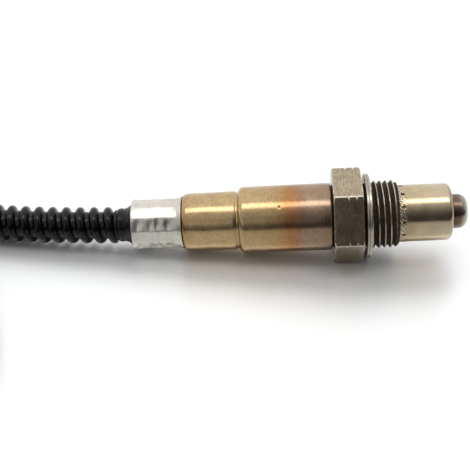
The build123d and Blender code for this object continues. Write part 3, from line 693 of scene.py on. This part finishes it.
def shell_marks(x, r, turn):
    """Dirt and wear of the shell, from 0 to 1.

    Dirt grows with the depth below the thread's crests, in front of the hexagon. Wear is a bell
    round each chamfer's edge, broken up by quick sines, and a bell round each corner, strongest
    on the corner 60 degrees up from -Y and on its opposite, where it is partly a painted highlight,
    and it covers the thread's crests.
    """
    depth = THREAD_R - r
    ahead = (x > HEX_SPAN[1] + 0.02) & (x < THREAD_X[1] + 0.03)
    grime = np.interp(depth, THREAD_DIRT, (0, 1)) * ahead
    on_hexagon = (x > HEX_SPAN[0] - 0.01) & (x < HEX_SPAN[1] + 0.01) & (r > HEX_FLATS / 2)
    from_end = np.minimum(x - HEX_SPAN[0], HEX_SPAN[1] - x)
    chamfer = (hexagon_radius(turn) - HEX_FACE_R).clip(0) * CHAMFER_SLOPE
    edge = bump_at(from_end, chamfer + 0.1, 0.14)
    edge = edge * (0.55 + 0.45 * np.sin(37 * turn) * np.sin(11 * turn + 1))
    corner = bump_at(from_corner(turn), 0, math.radians(1.1))
    # Full on the corner 60 degrees up from -Y and its opposite: rubbing, and a painted highlight on
    # that upper corner
    corner = corner * (0.15 + 0.85 * np.cos(turn - math.pi / 3) ** 2)
    rubbed = np.interp(-depth, -np.array(THREAD_RUBBED), (0, 1)) * (x > THREAD_X[0] - 1.0)
    return {"grime": grime, "wear": np.maximum(np.maximum(corner, edge) * on_hexagon, rubbed)}


def threaded_shell():
    """Shell with its chamfered hexagon, relief groove, helical thread and stepped bore.

    One closed surface over a grid of rows along its profile and angles round the axis. Round
    stretches have one radius for all angles, and the hexagon and the thread have their own.
    """
    turn = shell_turns()

    def level(*corners):
        points = np.array(corners, float)
        return points[:, :1] + 0 * turn, points[:, 1:2] + 0 * turn

    blocks = (
        level((-15.0, 5.2), (-15.0, 6.4), (-14.8, 6.97), (-14.2, 7.2), (-12.5, 7.2), (-12.5, 8.3)),
        level((HEX_SPAN[0], 8.3), (HEX_SPAN[0], 9.5)),
        hexagon_rows(turn),
        level((HEX_SPAN[1], 9.5), (HEX_SPAN[1], 8.35), (0.15, RELIEF_R), (1.3, RELIEF_R)),
        thread_rows(turn),
        level((9.3, 8.05), (9.3, 7.85), (9.22, 7.75), (8.8, 7.7), (6.8, 7.6), (6.8, 4.3)),
        level((2.2, 4.3), (0.5, 6.0), (-13.4, 6.0), (-14.2, 5.2)),
    )
    x = np.concatenate([block[0] for block in blocks])
    r = np.concatenate([block[1] for block in blocks])
    grid = in_row(x, -r * np.cos(turn), r * np.sin(turn))
    shell = skin("threaded_shell", grid, loop=True, marks=shell_marks(x, r, turn))
    return finish_piece(shell, turned_stainless(), "shell_steel", "shell")


def folded_ring():
    """Sealing ring of folded strip: two rounded folds with a seam between them.

    Its front is moved along the axis by a sum of quick sines, and leans by one slow cosine.
    """
    profile = outline(
        (
            (1.0, 8.55, 0.1),
            (0.72, 9.4, 0.2),
            (0.72, 11.1, 0.36),
            (1.32, 11.12, 0.15),
            (1.5, 10.95, 0.08),
            (1.66, 11.15, 0.15),
            (2.4, 11.2, 0.36),
            (2.4, 9.4, 0.2),
            (2.1, 8.55, 0.1),
        ),
        closed=True,
        step=0.12,
    )

    def wave(x, r, turn):
        front = np.clip((x - 1.3) / 1.1, 0, 1)
        ripple = np.sin(5 * turn + 1) + 0.7 * np.sin(13 * turn + 2) + 0.5 * np.sin(29 * turn)
        warp = 1 - np.cos(turn - 0.7)
        return front * (0.045 * ripple - 0.12 - 0.22 * warp), 0.02 * np.sin(9 * turn + x) + 0 * x

    ring = spun("folded_sealing_ring", profile, columns=288, shift=wave, drop=RING_DROP)
    return finish_piece(ring, ring_metal(), "ring_steel", "sealing_ring")


def dented_collar():
    """Crimped collar: its wall pressed into twelve flats, with dents and a flared front lip.

    A flat takes most of the gap between a circle and the side of a twelve-sided figure off the
    radius. A dent is a bell along the axis times half a sine across every other flat, and sums
    of slow sines keep the wall uneven.
    """
    profile = outline(
        (
            (-60.2, 6.2, 0.1),
            (-60.35, 6.72, 0.2),
            (-57.5, 6.7, 0.5),
            (-56.5, 6.63, 0.8),
            (-55.8, 6.63, 0.8),
            (-55.0, 6.7, 0.4),
            (-53.5, 6.72, 0.4),
            (-52.9, 6.64, 0.6),
            (-52.3, 6.64, 0.6),
            (-51.5, 6.7, 0.4),
            (-49.9, 6.68, 0.4),
            (-49.1, 6.64, 0.4),
            (-48.2, 6.66, 0.8),
            (-46.98, 7.08, 0.1),
            (-47.15, 6.72, 0.06),
            (-48.9, 5.95, 0.3),
            (-59.9, 6.1, 0.1),
        ),
        closed=True,
        step=0.14,
    )

    def dents(x, r, turn):
        inner = np.clip((x + 60.2) / 1.5, 0, 1) * np.clip((-47.7 - x) / 1.5, 0, 1)
        beside = turn[..., None] + CRIMP_SOFTNESS
        off_flat = (beside - CRIMP_EDGE) % CRIMP_FLAT - CRIMP_FLAT / 2
        flats = COLLAR_R * (1 - math.cos(CRIMP_FLAT / 2) / np.cos(off_flat)).mean(-1)
        slow = np.sin(4 * turn + 0.9 * x) + np.sin(3 * turn - 0.6 * x + 2)
        quick = np.sin(9 * turn + 1.7 * x + 1) * np.sin(3 * turn - 1.3 * x)
        pressed = 0
        for middle, half, depth in CRIMP_DENTS:
            start = CRIMP_EDGE + 0.04 * math.sin(3 * middle)
            across = np.clip((turn - start) / CRIMP_FLAT % 2 - 1, 0, 1)
            pressed = pressed + depth * bump_at(x, middle, half) * np.sin(math.pi * across)
        return 0 * x, inner * (0.012 * slow + 0.008 * quick - 0.8 * flats - pressed)

    collar = spun("crimped_collar", profile, columns=240, shift=dents)
    return finish_piece(collar, bright_strip(), "collar_metal", "crimp_collar")


def drawn_sleeve():
    """Drawn sleeve: a rolled rear rim, the step, the wide part, and fine rings near its ends.

    Each ring is a bell-shaped dip in the radius, a slow wave keeps the sheet from being true,
    and one round bell-shaped pit is the burnt spot.
    """
    profile = outline(
        (
            (-47.1, 5.15, 0.05),
            (-47.1, 7.58, 1.5),
            (-44.0, 7.66, 1.5),
            (-33.2, 7.76, 1.2),
            (-32.45, 7.3, 0.45),
            (-31.5, 8.74, 1.3),
            (-25.0, 8.79, 1.0),
            (-9.9, 8.85, 1.0),
            (-8.0, 8.78, 0.3),
            (-8.0, 8.3, 0.05),
            (-12.5, 8.28, 0.05),
            (-31.1, 8.2, 0.5),
            (-32.3, 6.95, 0.1),
            (-33.2, 7.2, 0.1),
            (-46.4, 7.0, 1.4),
            (-46.4, 5.15, 0.05),
        ),
        closed=True,
        step=0.22,
    )

    def wear(x, r, turn):
        outside = r > np.interp(x, (-47, -33, -31, -8), (6.2, 7.35, 8.4, 8.4))
        rings = sum(depth * bump_at(x, middle, half) for middle, half, depth in SLEEVE_RINGS)
        slow = 0.012 * np.sin(2 * turn + 0.31 * x) + 0.008 * np.sin(5 * turn - 0.5 * x)
        away = ((x - BURN_X) / 0.24) ** 2 + ((turn - BURN_TURN) * r / 0.26) ** 2
        burn = outside * np.exp(-away)
        return 0 * x, outside * (slow - 0.05 * rings) - 0.12 * burn, {"grime": burn}

    sleeve = spun("drawn_sleeve", profile, columns=192, shift=wear)
    return finish_piece(sleeve, heat_tinted_stainless(), "sleeve_steel", "protective_sleeve")


def drawn_tube():
    """Outer protection tube, its foot pitted and spattered between the gas holes.

    A hole is a flat-bottomed pit in the radius, the exponential of minus a sum of two fourth
    powers, and no two are alike. The spatter is a sum of quick sines, which fades out along the
    axis. The pits are darkened with soot and with painted shade of the open holes, the spatter's
    hollows with painted shade, and its raised tops are painted white as glints.
    """
    profile = outline(
        (
            (7.2, 7.1, 0.05),
            (7.2, 7.48, 0.05),
            (12.0, 7.5, 0.1),
            (23.1, 7.48, 1.35),
            (23.1, 4.58, 0.1),
            (22.7, 4.58, 0.1),
            (22.7, 7.1, 0.9),
        ),
        closed=True,
        step=0.125,
    )
    count = len(GAS_HOLE_DEPTHS)
    holes = np.radians(FIRST_GAS_HOLE + 360 / count * np.arange(count))

    def pitted(x, r, turn):
        outside = r > 7.4
        pits = 0
        for hole, depth in zip(holes, GAS_HOLE_DEPTHS):
            away = (turn - hole + math.pi) % (2 * math.pi) - math.pi
            across = away * TUBE_R / (0.34 + 0.1 * math.sin(5 * hole))
            pits = pits + depth * np.exp(-(across**4) - ((x - GAS_HOLE_X) / 0.42) ** 4)
        strip = bump_at(x, 9.6, 1.15) * outside
        spatter = 0
        for turns, slant in SPATTER_WAVES:
            spatter = spatter + 0.5 * np.sin(turns * turn + slant * x + turns)
        # Dark in the gas-hole pits, soot and painted shade of the open holes, and dark in the
        # spatter's hollows, painted shade
        soot_and_shade = outside * np.clip(pits / 0.25, 0, 1) + 0.75 * strip * (spatter < -0.75)
        # Painted glints: the worn colour, white, on the spatter's raised tops
        marks = {"grime": np.clip(soot_and_shade, 0, 1), "wear": strip * (spatter > 0.9)}
        return 0 * x, outside * (0.055 * strip * spatter - pits), marks

    tube = spun("drawn_tube", profile, columns=296, shift=pitted)
    return finish_piece(tube, straw_stainless(), "tube_steel", "outer_protection_tube")


def moulded_cuff():
    """Rubber cuff: it flares from the conduit over a small rib to the collar's mouth."""
    profile = outline(
        (
            (-65.3, 3.3, 0.1),
            (-65.3, 4.05, 0.3),
            (-64.5, 4.1, 0.3),
            (-64.1, 4.42, 0.25),
            (-63.3, 4.5, 0.25),
            (-62.9, 4.32, 0.3),
            (-61.9, 4.6, 1.5),
            (-60.6, 5.45, 0.3),
            (-60.2, 5.9, 0.1),
            (-49.2, 5.85, 0.1),
            (-49.2, 5.05, 0.1),
            (-55.0, 5.05, 0.1),
            (-55.0, 3.3, 0.1),
        ),
        closed=True,
        step=0.2,
    )
    cuff = spun("moulded_cuff", profile, columns=96)
    return finish_piece(cuff, black_rubber(), "conduit_rubber", "conduit_cuff")


def smooth_route(points, name):
    """Points along the smooth spline that has these control points, read from a curve."""
    curve = bpy.data.curves.new(name, "CURVE")
    curve.dimensions = "3D"
    spline = curve.splines.new("NURBS")
    spline.points.add(len(points) - 1)
    weights = np.ones((len(points), 1))
    spline.points.foreach_set("co", np.hstack([points, weights]).ravel())
    spline.order_u = 3
    spline.use_endpoint_u = True
    spline.resolution_u = 24
    holder = bpy.data.objects.new(name, curve)
    bpy.context.scene.collection.objects.link(holder)
    bpy.context.view_layer.update()
    mesh = bpy.data.meshes.new_from_object(holder)
    places = np.zeros(len(mesh.vertices) * 3)
    mesh.vertices.foreach_get("co", places)
    bpy.data.objects.remove(holder)
    bpy.data.curves.remove(curve)
    bpy.data.meshes.remove(mesh)
    return places.reshape(-1, 3)


def lead_points():
    """The lead's control points: its run, the coil's turns from a loop, and the run to the plug."""
    step = 360 / POINTS_PER_TURN
    turns = np.arange(COIL_TURN[0], COIL_TURN[1] + 1, step)
    swell = 1 / math.cos(math.radians(step / 2))
    share = np.clip((turns - COIL_RISE[0]) / (COIL_RISE[1] - COIL_RISE[0]), 0, 1)
    angle = np.radians(turns)
    coil = np.stack(
        [
            COIL_CENTRE[0] + COIL_R * swell * np.cos(angle),
            COIL_CENTRE[1] + COIL_R * swell * np.sin(angle),
            CONDUIT_R + COIL_STEP * share * share * (3 - 2 * share),
        ],
        axis=1,
    )
    return np.concatenate([LEAD_ROUTE, coil, TAIL_ROUTE])


def even_steps(route, step):
    """Distances along a route about a step apart, with the places and directions there."""
    reach = np.concatenate([[0], np.cumsum(np.linalg.norm(np.diff(route, axis=0), axis=1))])
    s = np.linspace(0, reach[-1], int(round(reach[-1] / step)))
    middle = np.stack([np.interp(s, reach, route[:, k]) for k in range(3)], axis=1)
    along = np.gradient(middle, s, axis=0)
    return s, middle, along / np.linalg.norm(along, axis=1)[:, None]


def corrugated_conduit(sizes):
    """Corrugated tube along the lead.

    Its radius at distance s and angle a round the tube is the groove's radius plus, within a
    share of the pitch from each crest, the depth times a power of one minus the square of that
    distance, which makes a round rib between flat grooves. The phase grows by one each pitch and
    each turn, so that the rib is a helix. It narrows under the tie.
    """
    route = smooth_route(lead_points(), "lead_route")
    gaps = np.linalg.norm(np.diff(route, axis=0), axis=1)
    route = route[np.concatenate([[True], gaps > 1e-7])]
    s, middle, along = even_steps(route, sizes.corrugation_pitch / RIB_ROWS)
    beside = np.cross((0.0, 0.0, 1.0), along)
    beside /= np.linalg.norm(beside, axis=1)[:, None]
    above = np.cross(along, beside)
    a = np.linspace(-math.pi, math.pi, RIB_COLUMNS, endpoint=False)[None]
    phase = (s[:, None] - FIRST_CREST) / sizes.corrugation_pitch + (math.pi / 2 - a) / (2 * math.pi)
    off_crest = np.abs(phase - np.round(phase)) / RIB_SHARE
    rib = np.clip(1 - off_crest**2, 0, 1) ** RIB_POWER
    radius = CONDUIT_R - sizes.corrugation_depth * (1 - rib)
    turn = np.degrees(np.arctan2(middle[:, 1] - COIL_CENTRE[1], middle[:, 0] - COIL_CENTRE[0]))
    off_tie = np.abs(turn - TIE_TURN) * math.radians(COIL_R)
    coiled = (middle[:, 0] < COIL_CENTRE[0]) & (middle[:, 1] > COIL_CENTRE[1])
    pinch = np.where(coiled & (off_tie < TIE_HALF_WIDTH), TIED_R, CONDUIT_R)
    radius = np.minimum(radius, pinch[:, None])
    grid = (
        middle[:, None]
        + radius[..., None] * np.cos(a)[..., None] * beside[:, None]
        + radius[..., None] * np.sin(a)[..., None] * above[:, None]
    )
    tube = skin("conduit", grid)
    finish_piece(
        tube, black_polyamide(), "conduit_rubber", "conduit_lead", "conduit_coil", "conduit_tail"
    )
    return tube


# ---- Stage ---------------------------------------------------------------------------------------


FLOOR_HALF = 20.0  # metres
FLOOR_SATIN = 0.5  # share of the satin reflection, the rest being matt
FLOOR_ROUGHNESS = 0.38


def floor(colour):
    """Wide flat floor: a square with its middle at the origin."""
    mesh = bpy.data.meshes.new("floor")
    corners = [(i * FLOOR_HALF, j * FLOOR_HALF, 0) for i, j in ((-1, -1), (1, -1), (1, 1), (-1, 1))]
    mesh.from_pydata(corners, [], [(0, 1, 2, 3)])
    made = bpy.data.objects.new("floor", mesh)
    bpy.context.scene.collection.objects.link(made)
    # Satin laminate: its matt half takes the soft shadow, and the other half blurs what it mirrors
    material, tree, output = new_material("pale_satin_laminate")
    table = node(
        tree,
        "ShaderNodeBsdfPrincipled",
        {"Base Color": colour, "Metallic": FLOOR_SATIN, "Roughness": FLOOR_ROUGHNESS},
    )
    tree.links.new(table.outputs[0], output.inputs[0])
    mesh.materials.append(material)
    return made


# Radiance round the sensor's axis, towards -X and towards +X: degrees from the front horizon,
# over the top, to the back, and the level there
SKY_LEFT = (
    (0, 0.1),
    (16, 0.22),
    (26, 0.62),
    (33, 0.66),
    (40, 0.53),
    (52, 0.66),
    (66, 0.69),
    (78, 0.82),
    (97, 1.03),
    (108, 1.15),
    (130, 1.15),
    (148, 1.11),
    (180, 1.07),
)
SKY_RIGHT = (
    (0, 0.03),
    (25, 0.06),
    (40, 0.14),
    (52, 0.29),
    (66, 0.54),
    (78, 0.78),
    (97, 1.03),
    (108, 1.15),
    (130, 1.15),
    (148, 1.11),
    (180, 1.07),
)
SKY_TURN_X = (-0.16, 0.02)  # X part of the direction where the room turns from bright to dim
STRIP = ((75, 0.0), (81, 1.0), (91, 1.0), (97, 0.0))
STRIP_LEVEL = 2.85
# Where the strip and the room start and stop fading, as the X part of the direction
STRIP_REACH = (0.3, 0.55)
SKY_REACH = (0.35, 0.75)
SKY_END_SHARE = 0.6
KEY_TURN = 122.0  # degrees from the front horizon, as above
KEY_DISTANCE = 1.0
KEY_SIZE = (1.1, 0.24)
KEY_POWER = 2.9


def wall_glow(tree, split, share):
    """Light of the walls round the axis: the left's and the right's, mixed, dimmer at the ends."""
    brightest = max(level for _, level in SKY_LEFT)
    left, right = (
        node(
            tree,
            "ShaderNodeValToRGB",
            {"Fac": share},
            stops=[(turn / 180, level / brightest) for turn, level in sky],
        )
        for sky in (SKY_LEFT, SKY_RIGHT)
    )
    turned = node(
        tree, "ShaderNodeMapRange", {"Value": split.outputs["X"], **dict(zip(RANGE, SKY_TURN_X))}
    )
    inputs = {0: turned.outputs[0], 6: left.outputs[0], 7: right.outputs[0]}
    room = node(tree, "ShaderNodeMix", inputs, data_type="RGBA")
    limits = (*SKY_REACH, brightest, brightest * SKY_END_SHARE)
    level = node(
        tree, "ShaderNodeMapRange", {"Value": split.outputs["X"], **dict(zip(RANGE, limits))}
    )
    return node(
        tree, "ShaderNodeBackground", {"Color": room.outputs[2], "Strength": level.outputs[0]}
    )


def softbox_glow(tree, split, share):
    """Light of the long softbox overhead, which fades at its edges and its ends."""
    strip = node(
        tree,
        "ShaderNodeValToRGB",
        {"Fac": share},
        stops=[(turn / 180, level) for turn, level in STRIP],
    )
    aside = node(tree, "ShaderNodeMath", {0: split.outputs["X"]}, operation="ABSOLUTE")
    limits = (*STRIP_REACH, STRIP_LEVEL, 0.0)
    level = node(
        tree, "ShaderNodeMapRange", {"Value": aside.outputs[0], **dict(zip(RANGE, limits))}
    )
    return node(
        tree, "ShaderNodeBackground", {"Color": strip.outputs[0], "Strength": level.outputs[0]}
    )


def studio_light():
    """World as a studio: a long softbox overhead, a pale wall behind, a dim room in front."""
    world = bpy.data.worlds.new("studio")
    world.use_nodes = True
    tree = world.node_tree
    tree.nodes.clear()
    towards = node(tree, "ShaderNodeTexCoord").outputs["Generated"]
    split = node(tree, "ShaderNodeSeparateXYZ", {0: towards})
    front = node(tree, "ShaderNodeMath", {0: split.outputs["Y"], 1: -1.0}, operation="MULTIPLY")
    angle = node(
        tree, "ShaderNodeMath", {0: split.outputs["Z"], 1: front.outputs[0]}, operation="ARCTAN2"
    )
    share = node(tree, "ShaderNodeMath", {0: angle.outputs[0], 1: math.pi}, operation="DIVIDE")
    walls = wall_glow(tree, split, share.outputs[0])
    softbox = softbox_glow(tree, split, share.outputs[0])
    both = node(tree, "ShaderNodeAddShader", {0: softbox.outputs[0], 1: walls.outputs[0]})
    node(tree, "ShaderNodeOutputWorld", {0: both.outputs[0]})
    bpy.context.scene.world = world
    return world


def key_lamp():
    """Long lamp behind and above, which casts the soft shadow forwards; metal doesn't mirror it."""
    lamp = bpy.data.lights.new("key_lamp", "AREA")
    lamp.shape = "RECTANGLE"
    lamp.size, lamp.size_y = KEY_SIZE
    lamp.energy = KEY_POWER
    holder = bpy.data.objects.new("key_lamp", lamp)
    bpy.context.scene.collection.objects.link(holder)
    turn = math.radians(KEY_TURN)
    place = (0.0, -math.cos(turn) * KEY_DISTANCE, math.sin(turn) * KEY_DISTANCE)
    tip = Matrix.Rotation(math.pi / 2 - turn, 4, "X")
    holder.matrix_world = Matrix.Translation(Vector(place)) @ tip
    holder.visible_glossy = False
    return holder


def camera():
    """Camera at its place: yawed about Z, pitched down by the elevation, then rolled."""
    made = bpy.data.cameras.new("camera")
    made.lens = CAMERA_LENS
    made.sensor_width = 36.0
    made.clip_start = 0.01
    made.clip_end = 100.0
    holder = bpy.data.objects.new("camera", made)
    bpy.context.scene.collection.objects.link(holder)
    turn = (
        Matrix.Rotation(math.radians(CAMERA_YAW), 4, "Z")
        @ Matrix.Rotation(math.radians(90 - CAMERA_ELEVATION), 4, "X")
        @ Matrix.Rotation(math.radians(CAMERA_ROLL), 4, "Z")
    )
    holder.matrix_world = Matrix.Translation(Vector(CAMERA_PLACE)) @ turn
    bpy.context.scene.camera = holder
    return holder


# ---- Properties, operators and panel -------------------------------------------------------------


class SensorSizes(bpy.types.PropertyGroup):
    """Sizes of the surfaces that the frame leaves plain."""

    corrugation_pitch: bpy.props.FloatProperty(
        name="Corrugation Pitch",
        description="Distance from crest to crest along the conduit",
        default=0.0038,
        min=0.002,
        max=0.008,
        unit="LENGTH",
        precision=4,
    )
    corrugation_depth: bpy.props.FloatProperty(
        name="Corrugation Depth",
        description="Depth of the conduit's groove below its crests",
        default=0.0013,
        min=0.0003,
        max=0.0016,
        unit="LENGTH",
        precision=4,
    )


class SensorColours(bpy.types.PropertyGroup):
    """Colours of the stage."""

    floor: bpy.props.FloatVectorProperty(
        name="Floor",
        description="Colour of the floor",
        subtype="COLOR",
        size=4,
        min=0.0,
        max=1.0,
        default=linear("#fafbfb"),
    )


class SENSOR_OT_stage(bpy.types.Operator):
    """Add the floor, the light and the camera"""

    bl_idname = "sensor.stage"
    bl_label = "Stage"

    def execute(self, context):
        floor(tuple(context.scene.sensor_colours.floor))
        studio_light()
        key_lamp()
        camera()
        context.scene.view_settings.view_transform = "Standard"
        return {"FINISHED"}


class SENSOR_OT_lead(bpy.types.Operator):
    """Add the corrugated lead"""

    bl_idname = "sensor.lead"
    bl_label = "Lead"

    def execute(self, context):
        corrugated_conduit(context.scene.sensor_sizes)
        return {"FINISHED"}


class SENSOR_OT_shell(bpy.types.Operator):
    """Add the hexagonal threaded shell and its sealing ring"""

    bl_idname = "sensor.shell"
    bl_label = "Shell and Ring"

    def execute(self, context):
        threaded_shell()
        folded_ring()
        return {"FINISHED"}


class SENSOR_OT_drawn(bpy.types.Operator):
    """Add the drawn sleeve and the outer protection tube"""

    bl_idname = "sensor.drawn"
    bl_label = "Sleeve and Tube"

    def execute(self, context):
        drawn_sleeve()
        drawn_tube()
        return {"FINISHED"}


class SENSOR_OT_rear(bpy.types.Operator):
    """Add the crimped collar and the lead's cuff"""

    bl_idname = "sensor.rear"
    bl_label = "Collar and Cuff"

    def execute(self, context):
        dented_collar()
        moulded_cuff()
        return {"FINISHED"}


class SENSOR_OT_frame_finishes(bpy.types.Operator):
    """Give the frame's own parts their materials"""

    bl_idname = "sensor.frame_finishes"
    bl_label = "Frame Finishes"

    def execute(self, context):
        dress(sooted_stainless(), "inner_protection_tube")
        dress(black_rubber(), "wire_grommet")
        dress(moulded_housing(), "plug_rear_cover", "plug_housing", "coil_tie")
        dress(sealing_rubber(), "plug_wire_seal")
        dress(lock_polyester(), "terminal_lock")
        dress(tinned_alloy(), *(f"plug_pin_{n}" for n in range(1, 7)))
        dress(wire_jacket(), *(f"wire_{n}" for n in range(1, 6)))
        dress(sprung_strip(), "holder_clip", *(f"contact_{n}" for n in range(1, 6)))
        dress(
            fired_ceramic(),
            "front_insulator",
            "powder_seal",
            "rear_insulator",
            "sensing_element",
            "contact_holder_upper",
            "contact_holder_lower",
            "trim_resistor",
        )
        return {"FINISHED"}


class SENSOR_PT_panel(bpy.types.Panel):
    """Sizes, colours and build steps of the sensor"""

    bl_idname = "SENSOR_PT_panel"
    bl_label = "Oxygen Sensor"
    bl_space_type = "VIEW_3D"
    bl_region_type = "UI"
    bl_category = "Sensor"

    def draw(self, context):
        layout = self.layout
        for group in (context.scene.sensor_sizes, context.scene.sensor_colours):
            for name in group.bl_rna.properties.keys():
                if name not in ("rna_type", "name"):
                    layout.prop(group, name)
        for step in STEPS:
            layout.operator(step.bl_idname)


STEPS = (
    SENSOR_OT_shell,
    SENSOR_OT_drawn,
    SENSOR_OT_rear,
    SENSOR_OT_lead,
    SENSOR_OT_frame_finishes,
    SENSOR_OT_stage,
)
CLASSES = (SensorSizes, SensorColours, *STEPS, SENSOR_PT_panel)


def register():
    for item in CLASSES:
        bpy.utils.register_class(item)
    bpy.types.Scene.sensor_sizes = bpy.props.PointerProperty(type=SensorSizes)
    bpy.types.Scene.sensor_colours = bpy.props.PointerProperty(type=SensorColours)


def unregister():
    del bpy.types.Scene.sensor_colours
    del bpy.types.Scene.sensor_sizes
    for item in reversed(CLASSES):
        bpy.utils.unregister_class(item)


def main():
    register()
    for step in STEPS:
        group, name = step.bl_idname.split(".")
        getattr(getattr(bpy.ops, group), name)()


if __name__ == "__main__":
    main()
